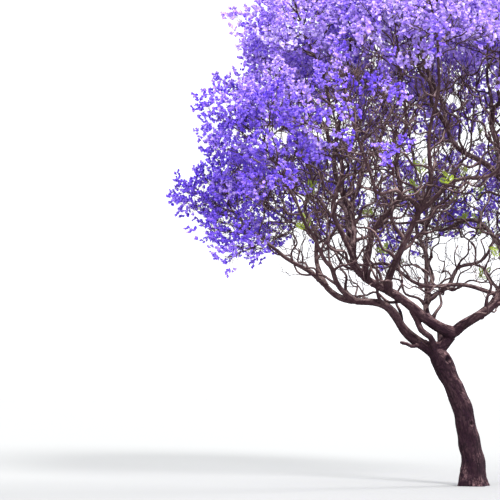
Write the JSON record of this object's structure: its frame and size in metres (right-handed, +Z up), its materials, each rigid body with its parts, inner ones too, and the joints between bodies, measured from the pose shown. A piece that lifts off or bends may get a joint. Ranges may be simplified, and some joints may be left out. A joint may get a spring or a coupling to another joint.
{
  "type": "flowering jacaranda tree",
  "caption": "Old jacaranda in full bloom: a leaning trunk forks low into winding boughs under a wide domed crown of violet blossom.",
  "frame": {"origin": "middle of the flat cut under the trunk, at ground level", "axes": "+Z up the tree; +X to the right and +Y away, seen from the side across which the trunk leans to the left"},
  "size_m": [9.0194, 8.8626, 10.1402],
  "materials": {
    "bark": "rough furrowed bark",
    "blossom": "soft matte petals"
  },
  "bodies": {
    "root": {"trunk": "bark", "arching_limb": "bark", "back_bough": "bark", "back_right_limb": "bark", "back_top_limb": "bark", "back_upper_limb": "bark", "crossing_limb": "bark", "front_bough": "bark", "front_left_limb": "bark", "front_right_limb": "bark", "inner_front_limb": "bark", "inner_riser": "bark", "left_bough": "bark", "left_front_limb": "bark", "left_riser": "bark", "left_upper_limb": "bark", "middle_bough": "bark", "middle_front_limb": "bark", "middle_rear_limb": "bark", "middle_top_limb": "bark", "outer_front_limb": "bark", "outer_riser": "bark", "right_bough": "bark", "right_front_limb": "bark", "right_low_limb": "bark", "right_rear_limb": "bark", "arching_bloom": "blossom", "back_bloom": "blossom", "back_right_bloom": "blossom", "back_top_bloom": "blossom", "back_upper_bloom": "blossom", "crossing_bloom": "blossom", "front_bloom": "blossom", "front_left_bloom": "blossom", "front_right_bloom": "blossom", "inner_front_bloom": "blossom", "inner_riser_bloom": "blossom", "left_bloom": "blossom", "left_front_bloom": "blossom", "left_riser_bloom": "blossom", "left_upper_bloom": "blossom", "middle_bloom": "blossom", "middle_front_bloom": "blossom", "middle_rear_bloom": "blossom", "middle_top_bloom": "blossom", "outer_front_bloom": "blossom", "outer_riser_bloom": "blossom", "right_bloom": "blossom", "right_front_bloom": "blossom", "right_low_bloom": "blossom", "right_rear_bloom": "blossom"}
  },
  "joints": []
}
